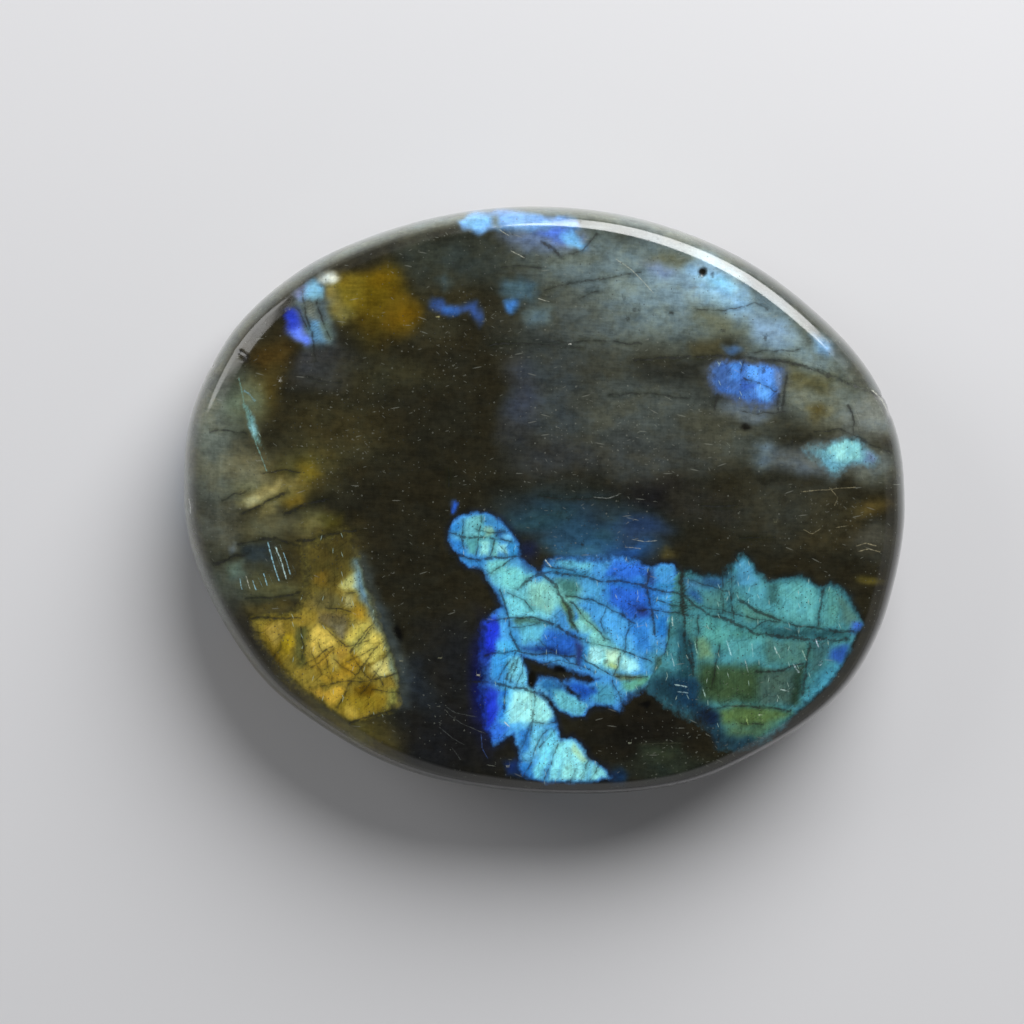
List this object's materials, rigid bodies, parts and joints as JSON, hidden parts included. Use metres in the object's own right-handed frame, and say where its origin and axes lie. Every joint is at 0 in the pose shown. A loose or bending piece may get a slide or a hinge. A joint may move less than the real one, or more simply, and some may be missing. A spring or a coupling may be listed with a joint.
{
  "type": "oval labradorite palm stone",
  "caption": "Flat oval polished stone with a gently crowned face, creased rounded shoulders and a flat back, lying face up.",
  "frame": {"origin": "middle of the oval's box, in the plane of the flat back that the stone rests on", "axes": "+X along the oval's long axis, +Y across it towards the rim that the picture shows at the top, +Z out of the polished face"},
  "size_m": [0.065, 0.053, 0.012],
  "materials": {
    "labradorite": "high polish over dark olive-brown feldspar with blue, teal and gold iridescent flashes"
  },
  "bodies": {
    "root": {"labradorite_stone": "labradorite"}
  },
  "joints": []
}
